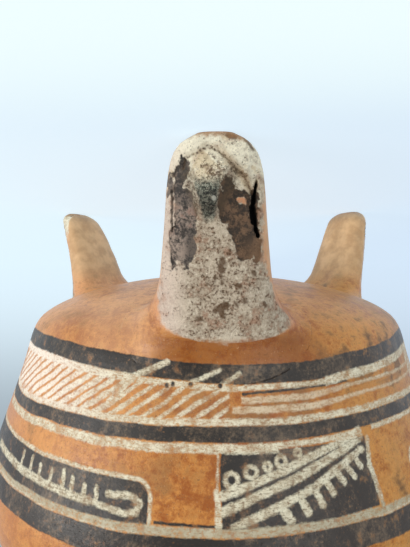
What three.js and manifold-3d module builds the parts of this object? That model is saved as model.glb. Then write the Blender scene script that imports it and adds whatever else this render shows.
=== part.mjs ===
// A painted pottery vase on three hollow flattened feet, modelled as it stands.
// Millimetres, +Z up. The origin is on the vase's axis, at the level of the feet's flat toes.
// The front foot points to -Y and the other two stand a third of a turn to each side.

import * as THREE from "three";
import { mergeVertices } from "three/addons/utils/BufferGeometryUtils.js";
import Module from "manifold-3d";

// Body: the outside, from the underside up to the mouth
const undersideHeight = 32;
const undersideRadius = 69.5;
const undersideEdgeHeight = 47.5;
const wallFootRadius = 74;
const wallFootHeight = 59;
const bellyRadius = 86;
const bellyHeight = 103.5;
const neckRadius = 62;
const neckHeight = 152;
const mouthRadius = 68;
const mouthLean = 18 * Math.PI / 180;
const vaseHeight = 187;
const wall = 6;

// Feet: flattened slabs that lean outwards towards the toe
const footCount = 3;
const toeReach = 85.7;
const footLean = 13 * Math.PI / 180;
const toeWidth = 18.8;
const toeThickness = 9.7;
const widthTaper = 0.3;
const thicknessTaper = 0.17;
const rootFlareStart = 30;
const rootFlareWidth = 38;
const rootFlareThickness = 16;
const toeRounding = 4.2;
const squareness = 2.8;
const rootSink = 0.7;
const footWall = 3.4;
const soleThickness = 7;

// Two narrow slits that open each foot, one beside each front edge
const slitWidth = 1.6;
const slitLength = 12.5;
const slitHeight = 16;
const slitInset = 1.9;
const slitTurn = 38 * Math.PI / 180;

// Snout: a rounded boss on the front of each foot
const snoutHeight = 10.8;
const snoutHalfWidth = 4.4;
const snoutHalfLength = 6.2;
const snoutStandOut = 2.4;
const snoutOffset = 1.4;

// Fineness of the facets
const turnSteps = 54;
const footSteps = 24;
const cavitySteps = 16;

const wasm = await Module();
wasm.setup();

function toSolid(geometry) {
  const bare = geometry.clone();
  bare.deleteAttribute("normal");
  bare.deleteAttribute("uv");
  const merged = mergeVertices(bare, 1e-4);
  const vertProperties = new Float32Array(merged.attributes.position.array);
  const triVerts = new Uint32Array(merged.index.array);
  const mesh = new wasm.Mesh({ numProp: 3, vertProperties, triVerts });
  return new wasm.Manifold(mesh);
}

function toGeometry(solid) {
  const mesh = solid.getMesh();
  const geometry = new THREE.BufferGeometry();
  const positions = new THREE.BufferAttribute(new Float32Array(mesh.vertProperties), 3);
  geometry.setAttribute("position", positions);
  geometry.setIndex(new THREE.BufferAttribute(new Uint32Array(mesh.triVerts), 1));
  geometry.computeVertexNormals();
  return geometry;
}

// A closed solid turned about Z from a profile of (radius, height) points
function turned(profile) {
  const geometry = new THREE.LatheGeometry(profile, turnSteps);
  geometry.rotateX(Math.PI / 2);
  return toSolid(geometry);
}

// Outside of the body as smooth curves: underside, rounded edge, wall, shoulder and neck
function outsideProfile() {
  const lipHeight = vaseHeight - wall / 2 * (1 + Math.sin(mouthLean));
  const wallRise = bellyHeight - wallFootHeight;
  const shoulderRise = neckHeight - bellyHeight;
  const neckRise = lipHeight - neckHeight;
  const edgeRise = wallFootHeight - undersideEdgeHeight;
  const underside = new THREE.CubicBezierCurve(
    new THREE.Vector2(0, undersideHeight),
    new THREE.Vector2(undersideRadius * 0.42, undersideHeight),
    new THREE.Vector2(undersideRadius * 0.86, undersideEdgeHeight - edgeRise * 0.8),
    new THREE.Vector2(undersideRadius, undersideEdgeHeight),
  );
  const edge = new THREE.CubicBezierCurve(
    new THREE.Vector2(undersideRadius, undersideEdgeHeight),
    new THREE.Vector2(undersideRadius + edgeRise * 0.24, undersideEdgeHeight + edgeRise * 0.28),
    new THREE.Vector2(wallFootRadius - edgeRise * 0.1, wallFootHeight - edgeRise * 0.4),
    new THREE.Vector2(wallFootRadius, wallFootHeight),
  );
  const lowerWall = new THREE.CubicBezierCurve(
    new THREE.Vector2(wallFootRadius, wallFootHeight),
    new THREE.Vector2(wallFootRadius + wallRise * 0.1, wallFootHeight + wallRise * 0.4),
    new THREE.Vector2(bellyRadius, bellyHeight - wallRise * 0.26),
    new THREE.Vector2(bellyRadius, bellyHeight),
  );
  const shoulder = new THREE.CubicBezierCurve(
    new THREE.Vector2(bellyRadius, bellyHeight),
    new THREE.Vector2(bellyRadius, bellyHeight + shoulderRise * 0.46),
    new THREE.Vector2(neckRadius, neckHeight - shoulderRise * 0.4),
    new THREE.Vector2(neckRadius, neckHeight),
  );
  const neck = new THREE.CubicBezierCurve(
    new THREE.Vector2(neckRadius, neckHeight),
    new THREE.Vector2(neckRadius, neckHeight + neckRise * 0.45),
    new THREE.Vector2(mouthRadius - neckRise * 0.3 * Math.tan(mouthLean), lipHeight - neckRise * 0.3),
    new THREE.Vector2(mouthRadius, lipHeight),
  );
  return { underside, edge, lowerWall, shoulder, neck };
}

function sample(curves, counts) {
  const points = [];
  for (const [name, count] of Object.entries(counts)) {
    for (const point of curves[name].getPoints(count)) {
      const last = points.at(-1);
      if (!last || last.distanceTo(point) > 1e-3) {
        points.push(point);
      }
    }
  }
  return points;
}

// The same outline moved inwards by a wall, square to the surface at every point
function movedInwards(points, distance) {
  return points.map((point, i) => {
    const before = points[Math.max(i - 1, 0)];
    const after = points[Math.min(i + 1, points.length - 1)];
    const along = after.clone().sub(before).normalize();
    if (i === 0) {
      along.set(1, 0);
    }
    const inwards = new THREE.Vector2(-along.y, along.x);
    return point.clone().addScaledVector(inwards, distance);
  });
}

function shell() {
  const curves = outsideProfile();
  const outer = sample(curves, { underside: 6, edge: 3, lowerWall: 6, shoulder: 7, neck: 4 });
  const inner = movedInwards(
    sample(curves, { underside: 4, edge: 2, lowerWall: 3, shoulder: 5, neck: 3 }),
    wall,
  );
  const outerLip = outer.at(-1);
  const innerLip = inner.at(-1);
  const lipCentre = outerLip.clone().add(innerLip).multiplyScalar(0.5);
  const lip = [];
  for (const turn of [45, 90, 135]) {
    const spoke = outerLip.clone().sub(lipCentre);
    spoke.rotateAround(new THREE.Vector2(0, 0), turn * Math.PI / 180);
    lip.push(lipCentre.clone().add(spoke));
  }
  const profile = [...outer, ...lip, ...inner.reverse()];
  profile.at(0).x = 0;
  profile.at(-1).x = 0;
  return turned(profile);
}

// What lies inside the middle of the pot's wall, as far up as the feet reach
function withinWall() {
  const curves = outsideProfile();
  const side = movedInwards(sample(curves, { underside: 6, edge: 3, lowerWall: 6 }), wall / 2);
  const top = new THREE.Vector2(0, side.at(-1).y);
  side.at(0).x = 0;
  return turned([...side, top]);
}

// Half sizes and front face of a foot at a height above the toe. Above rootFlareStart the foot
// spreads and bends round the pot, until its face sinks into the wall at wallFootHeight.
function footSection(height) {
  const toeGap = Math.max(1 - height / toeRounding, 0);
  const roundOff = toeRounding * (1 - Math.sqrt(1 - toeGap ** 2));
  const flareHeight = wallFootHeight - rootFlareStart;
  const flare = Math.max(height - rootFlareStart, 0) / flareHeight;
  const width = toeWidth + height * widthTaper + rootFlareWidth * flare ** 2;
  const thickness = toeThickness + height * thicknessTaper + rootFlareThickness * flare ** 2;
  const leaningFace = toeReach - height * Math.tan(footLean);
  const sinking = THREE.MathUtils.smoothstep(flare, 0.3, 1);
  const frontFace = THREE.MathUtils.lerp(leaningFace, wallFootRadius - rootSink, sinking);
  return {
    halfWidth: width / 2 - roundOff,
    halfThickness: (thickness - roundOff) / 2,
    frontFace: frontFace - roundOff / 2,
    bend: Math.min(flare * 1.4, 1),
  };
}

// A ring of points on a rounded rectangle: a superellipse flattened like a slab
function sectionRing(section, height, inset, steps) {
  const halfWidth = section.halfWidth - inset;
  const halfThickness = section.halfThickness - inset;
  const middle = section.frontFace - section.halfThickness;
  const ring = [];
  for (let i = 0; i < steps; i += 1) {
    const angle = i / steps * 2 * Math.PI;
    const across = Math.cos(angle);
    const outwards = Math.sin(angle);
    const x = halfWidth * Math.sign(across) * Math.abs(across) ** (2 / squareness);
    const depth = halfThickness * Math.sign(outwards) * Math.abs(outwards) ** (2 / squareness);
    const reach = middle - depth;
    const drop = reach - Math.sqrt(reach ** 2 - x ** 2);
    ring.push(new THREE.Vector3(x, section.bend * drop - reach, height));
  }
  return ring;
}

// A closed solid through a stack of rings, the lowest first
function lofted(rings) {
  const steps = rings[0].length;
  const positions = rings.flat().flatMap((point) => point.toArray());
  const index = [];
  for (let level = 0; level + 1 < rings.length; level += 1) {
    for (let i = 0; i < steps; i += 1) {
      const next = (i + 1) % steps;
      const low = level * steps;
      const high = low + steps;
      index.push(low + i, low + next, high + next);
      index.push(low + i, high + next, high + i);
    }
  }
  const lastRing = (rings.length - 1) * steps;
  for (let i = 1; i + 1 < steps; i += 1) {
    index.push(0, i + 1, i);
    index.push(lastRing, lastRing + i, lastRing + i + 1);
  }
  const geometry = new THREE.BufferGeometry();
  geometry.setAttribute("position", new THREE.Float32BufferAttribute(positions, 3));
  geometry.setIndex(index);
  return toSolid(geometry);
}

function footLevels() {
  const toe = [0, 0.12, 0.4, 1].map((share) => share * toeRounding);
  const rise = wallFootHeight - toeRounding;
  const slab = [0.24, 0.47, 0.57, 0.66, 0.75, 0.84, 0.93, 1];
  return [...toe, ...slab.map((share) => toeRounding + share * rise)];
}

function footOutside() {
  return lofted(footLevels().map((height) => sectionRing(footSection(height), height, 0, footSteps)));
}

function footInside() {
  const top = wallFootHeight * 0.86;
  const levels = [0, 0.2, 0.45, 0.7, 1].map((share) => THREE.MathUtils.lerp(soleThickness, top, share));
  return lofted(levels.map((height) => (
    sectionRing(footSection(height), height, footWall, cavitySteps)
  )));
}

function slit(side) {
  const outline = new THREE.Shape();
  outline.absellipse(0, 0, slitWidth / 2, slitLength / 2, 0, 2 * Math.PI);
  const depth = footWall * 2.6;
  const geometry = new THREE.ExtrudeGeometry(outline, { depth, bevelEnabled: false, curveSegments: 6 });
  geometry.translate(0, 0, -depth / 2);
  geometry.rotateX(Math.PI / 2);
  geometry.rotateZ(side * slitTurn);
  const section = footSection(slitHeight);
  const x = side * (section.halfWidth - slitInset);
  geometry.translate(x, -section.frontFace + slitInset * 0.6, slitHeight);
  return toSolid(geometry);
}

function snout() {
  const geometry = new THREE.SphereGeometry(1, 14, 8);
  geometry.rotateX(Math.PI / 2);
  geometry.scale(snoutHalfWidth, snoutStandOut, snoutHalfLength);
  geometry.rotateX(-footLean);
  geometry.translate(snoutOffset, -footSection(snoutHeight).frontFace, snoutHeight);
  return toSolid(geometry);
}

// The root of a foot and its hollow both end in the pot's wall, so the wall closes the hollow
function foot() {
  const hollow = footInside().add(slit(1)).add(slit(-1));
  return footOutside().add(snout()).subtract(hollow).subtract(withinWall());
}

function vase() {
  let solid = shell();
  const oneFoot = foot();
  for (let i = 0; i < footCount; i += 1) {
    solid = solid.add(oneFoot.rotate([0, 0, i * 360 / footCount]));
  }
  return solid;
}

const pottery = new THREE.MeshStandardMaterial({ color: 0xb5763f, roughness: 0.5, metalness: 0 });

const tripodVase = new THREE.Group();
const body = new THREE.Mesh(toGeometry(vase()), pottery);
body.name = "vase";
tripodVase.add(body);

export default tripodVase;
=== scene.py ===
"""A painted pottery vase on three hollow feet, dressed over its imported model.

The pot is one mesh: a turned body, and three feet that are lofted from their toes into the body.
Its paint is made of distances to brush strokes, in degrees round the pot and millimetres up it.
"""

import math

import bpy
import numpy as np
from mathutils import Matrix, Vector, noise


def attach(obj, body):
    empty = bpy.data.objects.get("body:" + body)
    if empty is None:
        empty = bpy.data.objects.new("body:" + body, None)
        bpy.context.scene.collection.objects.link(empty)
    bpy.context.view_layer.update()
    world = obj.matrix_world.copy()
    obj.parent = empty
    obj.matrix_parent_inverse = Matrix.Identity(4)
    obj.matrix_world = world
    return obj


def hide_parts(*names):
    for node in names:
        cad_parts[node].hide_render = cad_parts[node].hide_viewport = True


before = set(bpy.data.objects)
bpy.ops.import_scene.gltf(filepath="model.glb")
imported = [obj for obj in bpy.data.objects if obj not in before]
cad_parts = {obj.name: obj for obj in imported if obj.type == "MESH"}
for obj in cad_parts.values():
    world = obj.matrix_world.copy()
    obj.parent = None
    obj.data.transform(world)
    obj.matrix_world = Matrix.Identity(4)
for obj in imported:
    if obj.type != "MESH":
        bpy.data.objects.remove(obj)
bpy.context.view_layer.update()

MM = 0.001

# The pot's sizes in millimetres, as in its solid
UNDERSIDE_HEIGHT = 32.0
UNDERSIDE_RADIUS = 69.5
UNDERSIDE_EDGE_HEIGHT = 47.5
WALL_FOOT_RADIUS = 74.0
WALL_FOOT_HEIGHT = 59.0
BELLY_RADIUS = 86.0
BELLY_HEIGHT = 103.5
NECK_RADIUS = 62.0
NECK_HEIGHT = 152.0
MOUTH_RADIUS = 68.0
MOUTH_LEAN = math.radians(18)
VASE_HEIGHT = 187.0
WALL = 6.0

TOE_REACH = 85.7
FOOT_LEAN = math.radians(13)
TOE_THICKNESS = 9.7
THICKNESS_TAPER = 0.17
ROOT_FLARE_START = 30.0
TOE_ROUNDING = 4.2
TOE_FACE_ROUNDING = 0.15
SQUARENESS = 2.8

# Half the width of a foot at each height, with its rounded toe
FOOT_HEIGHTS = (0, 0.8, 2, 3.5, 5, 8, 12, 20, 30)
FOOT_HALF_WIDTHS = (4.6, 6.6, 8.5, 9.8, 10.5, 11.3, 11.9, 12.7, 13.9)

# Where a foot spreads over the pot: along the pot's outline, and across it
ROOT_MIDDLE = 69.0
ROOT_HALF_LENGTH = 16.5
ROOT_HALF_WIDTH = 27.0
ROOT_SQUARENESS = 2.3
ROOT_DEPTH = 3.0

# Each foot's turn about the axis, and how far its toe stands out beyond the others
FEET = ((0, 0), (120, 4.5), (240, -1.5))

# Spacing of a foot's mesh on its front, sides and back, and beside the slits
FRONT_SPACING = 0.38
SIDE_SPACING = 0.8
BACK_SPACING = 1.4
SLIT_SPACING = 0.2
LOFT_RINGS = 52

# Where the front of a foot's root ends: (height, least reach from the axis)
ROOT_FRONT = ((30, TOE_REACH - 12.4), (38, 68.5), (46, 63), (52, 60))

# The snout on a foot's front: its rise, half width and middle, each as (height, size)
SNOUT_RISE = ((4, 0), (6, 1.1), (9, 2.2), (12, 3.1), (14.4, 3.4), (16, 2.5), (17.4, 1), (18.6, 0))
SNOUT_HALF_WIDTH = ((4, 5.6), (6, 5.2), (9, 4.9), (12, 4.1), (15, 3), (18, 2.4))
SNOUT_MIDDLE = ((4, -1), (15, -1.6))
# Marks on a foot's front, in millimetres across (photograph's right is positive) and up
HOOD = (
    (-7.4, 7.5), (-6.8, 5.6), (-4, 4.6), (-1.8, 3.2), (0.5, 4.2), (2, 5.5), (3.7, 7), (5, 8.5),
    (6.5, 9.5), (7.5, 11.5), (8.2, 13),
)
RIDGES = ((-5.5, 10.4, -4.7, 14.4, 0), (-4.7, 14.4, -3.4, 16.4, 0), (-3.4, 16.4, -3.2, 19, 0))
LEFT_SLIT = ((-10.1, 12, -10.2, 17, 0.16), (-10.2, 17, -10.4, 21.5, 0.16))
RIGHT_SLIT = (
    (9.4, 10.6, 8.9, 13.6, 0.16), (8.9, 13.6, 8.6, 16, 0.42), (8.6, 16, 9.1, 19.6, 0.62),
    (9.1, 19.6, 10.1, 22.6, 0.36),
)
# Where the pale slip has flaked off: start, end and half width of each dark stroke
LEFT_FLAKES = (
    (-7.1, 6, -8.2, 10.8, 1.3), (-10.7, 8.4, -10.8, 12.6, 0.8), (-7.9, 13.6, -6.5, 13.9, 1.9),
    (-7.3, 16.4, -6.9, 20.2, 2.3), (-8.2, 23.8, -7.8, 25.4, 3.3), (-6.3, 22.2, -7, 27.6, 1.8),
    (-10.2, 26.4, -10.4, 30.2, 0.65), (-7, 27, -6.9, 30.2, 0.75),
)
RIGHT_FLAKES = (
    (2.9, 11.2, 3.2, 17.5, 1.5), (1.9, 14, 2.3, 19.2, 1.2), (5.4, 15, 5.4, 19.6, 2.7),
    (6.4, 20.5, 7.3, 25.2, 2.9), (8.9, 13, 9.2, 23, 0.8), (9.6, 24.5, 9.9, 28.2, 1.1),
    (6.4, 25.8, 6.3, 27.6, 0.8),
)
ORANGE_PATCH = (6.2, 14.8)
ORANGE_PATCH_RADIUS = 0.75
# Brown stains in the slip, as the same kind of strokes
STAINS = (
    (1.6, 28.4, 1.9, 29.2, 0.75), (1.5, 30.3, 1.4, 30.8, 0.6), (-0.3, 32.6, 0, 33.2, 0.5),
    (1.2, 32.4, 1.5, 34, 0.45), (5.2, 34.3, 5.7, 34.6, 0.6), (9, 31.2, 9.4, 31.4, 0.6),
    (6.8, 37.6, 7.1, 38.6, 0.5), (4.8, 38.6, 5.2, 39.4, 0.5), (-0.2, 40.6, 2.6, 39.4, 0.9),
    (1.2, 40.8, 1.6, 42.2, 0.8), (12, 38.8, 12.3, 39.4, 0.5), (-4.3, 42.4, -3.8, 42.8, 0.6),
    (6.4, 1.6, 8.4, 3.4, 0.5), (2.6, 0.9, 4.2, 1.3, 0.5), (3.2, 26, 3, 27.2, 0.4),
)
# How far these forms stand out of the front, or are sunk in it
RIM_RISE = 0.5
RIDGE_RISE = 0.45
HOOD_DEPTH = 0.55
FLAKE_DEPTH = 0.42
SLIT_DEPTH = 3.6
CLOGGED_SLIT_DEPTH = 0.8

# A mark's distance where there is no mark near
NO_MARK = 9.0


def bezier(points, count):
    t = np.linspace(0, 1, count)[:, None]
    a, b, c, d = (np.array(p, float) for p in points)
    return (1 - t) ** 3 * a + 3 * (1 - t) ** 2 * t * b + 3 * (1 - t) * t**2 * c + t**3 * d


def outside_profile(count=120):
    """The pot's outline as (radius, height) rows, from the underside's middle up to the lip.

    Every third point is on the outline, and the two between lie at shares of the rise there.
    """
    lip = VASE_HEIGHT - WALL / 2 * (1 + math.sin(MOUTH_LEAN))
    edge_rise = WALL_FOOT_HEIGHT - UNDERSIDE_EDGE_HEIGHT
    wall_rise = BELLY_HEIGHT - WALL_FOOT_HEIGHT
    shoulder_rise = NECK_HEIGHT - BELLY_HEIGHT
    neck_rise = lip - NECK_HEIGHT
    points = [
        (0, UNDERSIDE_HEIGHT),
        (UNDERSIDE_RADIUS * 0.42, UNDERSIDE_HEIGHT),
        (UNDERSIDE_RADIUS * 0.86, UNDERSIDE_EDGE_HEIGHT - edge_rise * 0.8),
        (UNDERSIDE_RADIUS, UNDERSIDE_EDGE_HEIGHT),
        (UNDERSIDE_RADIUS + edge_rise * 0.24, UNDERSIDE_EDGE_HEIGHT + edge_rise * 0.28),
        (WALL_FOOT_RADIUS - edge_rise * 0.1, WALL_FOOT_HEIGHT - edge_rise * 0.4),
        (WALL_FOOT_RADIUS, WALL_FOOT_HEIGHT),
        (WALL_FOOT_RADIUS + wall_rise * 0.1, WALL_FOOT_HEIGHT + wall_rise * 0.4),
        (BELLY_RADIUS, BELLY_HEIGHT - wall_rise * 0.26),
        (BELLY_RADIUS, BELLY_HEIGHT),
        (BELLY_RADIUS, BELLY_HEIGHT + shoulder_rise * 0.46),
        (NECK_RADIUS, NECK_HEIGHT - shoulder_rise * 0.4),
        (NECK_RADIUS, NECK_HEIGHT),
        (NECK_RADIUS, NECK_HEIGHT + neck_rise * 0.45),
        (MOUTH_RADIUS - neck_rise * 0.3 * math.tan(MOUTH_LEAN), lip - neck_rise * 0.3),
        (MOUTH_RADIUS, lip),
    ]
    curves = [bezier(points[k : k + 4], count)[1:] for k in range(0, len(points) - 1, 3)]
    return np.vstack([points[0], *curves])


def lengths_along(rows):
    steps = np.linalg.norm(np.diff(rows, axis=0), axis=1)
    return np.concatenate([[0], np.cumsum(steps)])


def moved_inwards(rows, distance):
    along = np.gradient(rows, axis=0)
    along /= np.linalg.norm(along, axis=1)[:, None]
    along[0] = (1, 0)
    return rows + distance * np.stack([-along[:, 1], along[:, 0]], axis=1)


def ramp(value, low, high):
    """0 below low, 1 above high, and a smooth step between."""
    t = np.clip((value - low) / (high - low), 0, 1)
    return t * t * (3 - 2 * t)


def spaced(rows, spacing):
    """The same outline with rows about a spacing apart; spacing is a function of height."""
    lengths = lengths_along(rows)
    density = 1 / np.array([spacing(z) for z in rows[:, 1]])
    cells = np.concatenate([[0], np.cumsum((density[1:] + density[:-1]) / 2 * np.diff(lengths))])
    wanted = np.linspace(0, cells[-1], int(math.ceil(cells[-1])) + 1)
    places = np.interp(wanted, cells, lengths)
    return np.stack([np.interp(places, lengths, rows[:, k]) for k in range(2)], axis=1)


OUTSIDE = outside_profile()
OUTSIDE_LENGTHS = lengths_along(OUTSIDE)
MIDWALL = moved_inwards(OUTSIDE, ROOT_DEPTH)


def closed_faces(rings, columns):
    """Quads between rings of points, and a fan at each end round the points that follow them."""
    faces = []
    for j in range(rings - 1):
        for i in range(columns):
            k = (i + 1) % columns
            low, high = j * columns, (j + 1) * columns
            faces.append((low + i, low + k, high + k, high + i))
    first_end = rings * columns
    last = first_end - columns
    for i in range(columns):
        k = (i + 1) % columns
        faces.append((first_end, k, i))
        faces.append((first_end + 1, last + i, last + k))
    return faces


def pot_mesh(columns=240):
    """The turned pot: its points, faces, and which points are inside."""
    outside = spaced(OUTSIDE, lambda z: 1.9 if z < 110 else 2.6)
    inside = moved_inwards(spaced(OUTSIDE, lambda z: 5.0), WALL)
    outer_lip, inner_lip = outside[-1], inside[-1]
    middle = (outer_lip + inner_lip) / 2
    x, z = outer_lip - middle
    lip = []
    for turn in np.radians(np.linspace(0, 180, 9)[1:-1]):
        bend = (x * math.cos(turn) - z * math.sin(turn), x * math.sin(turn) + z * math.cos(turn))
        lip.append(middle + bend)
    rows = np.vstack([outside[1:], lip, inside[:0:-1]])
    turn = np.arange(columns) / columns * 2 * math.pi
    points = np.empty((len(rows), columns, 3))
    points[:, :, 0] = rows[:, :1] * np.sin(turn)
    points[:, :, 1] = -rows[:, :1] * np.cos(turn)
    points[:, :, 2] = rows[:, 1:]
    ends = [(0, 0, outside[0, 1]), (0, 0, inside[0, 1])]
    points = np.vstack([points.reshape(-1, 3), ends])
    is_inside = np.zeros(len(points))
    is_inside[(len(outside) + len(lip) - 1) * columns :] = 1
    is_inside[-2] = 0
    return points, closed_faces(len(rows), columns), is_inside


def from_table(value, table):
    """The result for a value in a table of (value, result) rows, level beyond its ends."""
    return np.interp(value, *zip(*table))


def superellipse(angle, power):
    across = np.cos(angle)
    outward = np.sin(angle)
    return (
        np.sign(across) * np.abs(across) ** (2 / power),
        np.sign(outward) * np.abs(outward) ** (2 / power),
    )


def foot_angles():
    """Angles round a foot, close together where its front has the finest forms."""
    fine = np.linspace(0, 2 * math.pi, 6001)
    across, outward = superellipse(fine, SQUARENESS)
    half_width, half_thickness, slit_across = 11.8, 6.2, 9.4
    ring = np.stack([across * half_width, outward * half_thickness], axis=1)
    middle_across, middle_outward = ((ring[1:] + ring[:-1]) / 2).T
    spacing = np.where(middle_outward > -3, SIDE_SPACING, BACK_SPACING)
    spacing = np.where(middle_outward > 3, FRONT_SPACING, spacing)
    near_slit = (middle_outward > 0) & (np.abs(np.abs(middle_across) - slit_across) < 1.7)
    spacing = np.where(near_slit, SLIT_SPACING, spacing)
    steps = np.linalg.norm(np.diff(ring, axis=0), axis=1)
    cells = np.concatenate([[0], np.cumsum(steps / spacing)])
    count = int(cells[-1])
    return np.interp(np.arange(count) / count * cells[-1], cells, fine)


def foot_ring(height, angle, stand_out):
    """A ring round the front foot at a height below its root."""
    gap = max(1 - height / TOE_ROUNDING, 0)
    round_off = TOE_ROUNDING * (1 - math.sqrt(1 - gap**2))
    half_width = np.interp(height, FOOT_HEIGHTS, FOOT_HALF_WIDTHS)
    half_thickness = (TOE_THICKNESS + height * THICKNESS_TAPER - round_off) / 2
    leaning = stand_out * (1 - height / ROOT_FLARE_START) ** 2
    face = TOE_REACH - height * math.tan(FOOT_LEAN) - round_off * TOE_FACE_ROUNDING + leaning
    across, outward = superellipse(angle, SQUARENESS)
    reach = face - half_thickness + half_thickness * outward
    return np.stack([half_width * across, -reach, np.full(len(angle), float(height))], axis=1)


def root_ring(angle, share, outline=OUTSIDE):
    """A ring on the pot, round the middle of a foot's root; share 1 is the root's edge."""
    across, outward = superellipse(angle, ROOT_SQUARENESS)
    length = ROOT_MIDDLE + ROOT_HALF_LENGTH * outward * share
    radius = np.interp(length, OUTSIDE_LENGTHS, outline[:, 0])
    height = np.interp(length, OUTSIDE_LENGTHS, outline[:, 1])
    turn = ROOT_HALF_WIDTH * across * share / np.interp(length, OUTSIDE_LENGTHS, OUTSIDE[:, 0])
    return np.stack([radius * np.sin(turn), -radius * np.cos(turn), height], axis=1)


def stroke_distance(c, z, start_c, start_z, end_c, end_z, half):
    run, rise = end_c - start_c, end_z - start_z
    t = np.clip(((c - start_c) * run + (z - start_z) * rise) / (run**2 + rise**2), 0, 1)
    return np.hypot(c - start_c - run * t, z - start_z - rise * t) - half


def nearest(c, z, strokes):
    return np.min([stroke_distance(c, z, *stroke) for stroke in strokes], axis=0)


def lumps(points, scale, octaves=3):
    return np.array([noise.fractal(Vector(p * scale), 1.0, 2.0, octaves) for p in points])


def foot_mesh(stand_out):
    """The front foot, from the middle of its toe into the pot's wall, with its front's forms."""
    angle = foot_angles()
    columns = len(angle)
    toe = foot_ring(0, angle, stand_out)
    toe_middle = np.array([0, (toe[:, 1].min() + toe[:, 1].max()) / 2, 0])
    rings = [toe_middle + (toe - toe_middle) * share for share in (0.3, 0.6, 0.85)]
    heights = list(TOE_ROUNDING * (1 - np.cos(np.linspace(0, math.pi / 2, 12))))
    fine_top = 26
    heights += list(np.arange(TOE_ROUNDING + FRONT_SPACING, fine_top, FRONT_SPACING))
    heights += list(np.linspace(fine_top, ROOT_FLARE_START, 7))
    rings += [foot_ring(height, angle, stand_out) for height in heights]
    start = rings[-1]
    start_way = start - rings[-2]
    start_way /= np.linalg.norm(start_way, axis=1)[:, None]
    end = root_ring(angle, 1.0)
    end_way = end - root_ring(angle, 0.97)
    end_way /= np.linalg.norm(end_way, axis=1)[:, None]
    span = np.linalg.norm(end - start, axis=1)[:, None]
    start_pull, end_pull = 0.85 * span * start_way, 1.15 * span * end_way
    for t in np.linspace(0, 1, LOFT_RINGS)[1:]:
        h0 = 2 * t**3 - 3 * t**2 + 1
        h1 = t**3 - 2 * t**2 + t
        h2 = -2 * t**3 + 3 * t**2
        h3 = t**3 - t**2
        rings.append(h0 * start + h1 * start_pull + h2 * end + h3 * end_pull)
    shown = len(rings) * columns
    rings += [root_ring(angle, share, MIDWALL) for share in (1.0, 0.6, 0.2)]
    root_middle = root_ring(np.zeros(1), 0.0, MIDWALL)
    points = np.vstack([*rings, toe_middle, root_middle])
    faces = closed_faces(len(rings), columns)

    c, z = -points[:, 0], points[:, 2]
    reach = -points[:, 1]
    face = TOE_REACH - z * math.tan(FOOT_LEAN)
    is_shown = np.arange(len(points)) < shown
    front = ramp(reach - face, -5.5, -3.0) * is_shown
    root_limit = from_table(z, ROOT_FRONT)
    front = np.where(z > ROOT_FLARE_START, ramp(reach - root_limit, 0, 2.5) * is_shown, front)

    ragged = lumps(points + 9, 0.8) * 0.6 + lumps(points + 5, 0.33, 2) * 0.7
    slits = nearest(c, z, LEFT_SLIT + RIGHT_SLIT) + lumps(points + 3, 1.1) * 0.28
    flakes = nearest(c, z, LEFT_FLAKES + RIGHT_FLAKES) + ragged
    ridges = nearest(c, z, RIDGES)
    orange = np.hypot((c - ORANGE_PATCH[0]) * 0.8, z - ORANGE_PATCH[1]) - ORANGE_PATCH_RADIUS
    orange = orange + ragged * 0.9
    flakes = np.maximum(flakes, np.maximum(0.35 - ridges, -orange))
    off_middle = (c - from_table(z, SNOUT_MIDDLE)) / from_table(z, SNOUT_HALF_WIDTH)
    snout = from_table(z, SNOUT_RISE) * np.exp(-np.abs(off_middle) ** 3.2 * 1.5)
    # Painted shade: the snout's sides, where the slip is darkened as shade
    flank = ramp(np.abs(off_middle), 0.6, 1.0) * ramp(np.abs(off_middle), 1.6, 1.1)
    flank = flank * np.interp(z, (6, 9, 17, 19), (0, 1, 1, 0))
    hood = nearest(c, z, [(*a, *b, 0) for a, b in zip(HOOD, HOOD[1:])])
    hood_line = from_table(c, HOOD)
    rim = ramp(hood_line - z, -0.3, 1.0) * ramp(hood_line, 13.5, 11) * ramp(z, 0.2, 2.5) * RIM_RISE

    fine_lumps = lumps(points, 0.6) * 0.16 + lumps(points + 40, 0.16, 2) * 0.26
    fine_lumps = fine_lumps + lumps(points + 70, 1.1, 2) * 0.16 * ramp(snout, 0.2, 1.2)
    rough_slip = ramp(front, 0.2, 0.8) * ramp(z, 50, 42)
    raised = snout + rim - HOOD_DEPTH * np.exp(-((hood / 0.42) ** 2))
    raised = raised + RIDGE_RISE * np.exp(-((ridges / 0.5) ** 2))
    raised = raised - FLAKE_DEPTH * ramp(flakes, 0.2, -0.25)
    raised = raised + fine_lumps * (0.35 + 0.65 * rough_slip) * ramp(z, 0.3, 1.5)
    slit_depth = np.where(c < 0, CLOGGED_SLIT_DEPTH, SLIT_DEPTH)
    raised = raised * front - slit_depth * ramp(slits, 0.25, -0.1) * front
    out_way = np.array([0, -math.cos(FOOT_LEAN * 0.5), -math.sin(FOOT_LEAN * 0.5) * 0.4])
    points = points + raised[:, None] * out_way * is_shown[:, None]
    back_lumps = lumps(points + 80, 0.12, 2) * 0.3 * (1 - front) * ramp(z, 1, 4) * is_shown
    points[:, 1] += back_lumps * ramp(z, 46, 34)
    marks = {
        "slits": np.where(front > 0.5, slits, NO_MARK),
        "flakes": np.where(front > 0.3, flakes, NO_MARK),
        "left_flakes": nearest(c, z, LEFT_FLAKES),
        "orange": np.where(front > 0.3, orange, NO_MARK),
        "stains": np.where(front > 0.3, nearest(c, z, STAINS) + ragged * 0.6, NO_MARK),
        "snout": snout * front,
        "flank": flank * front,
        "hood": np.where(front > 0.5, hood, NO_MARK),
        "front": front,
    }
    return points, faces, marks


def turned_about_axis(points, degrees):
    turn = math.radians(degrees)
    x, y, z = points.T
    cosine, sine = math.cos(turn), math.sin(turn)
    return np.stack([x * cosine - y * sine, x * sine + y * cosine, z], 1)


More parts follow.
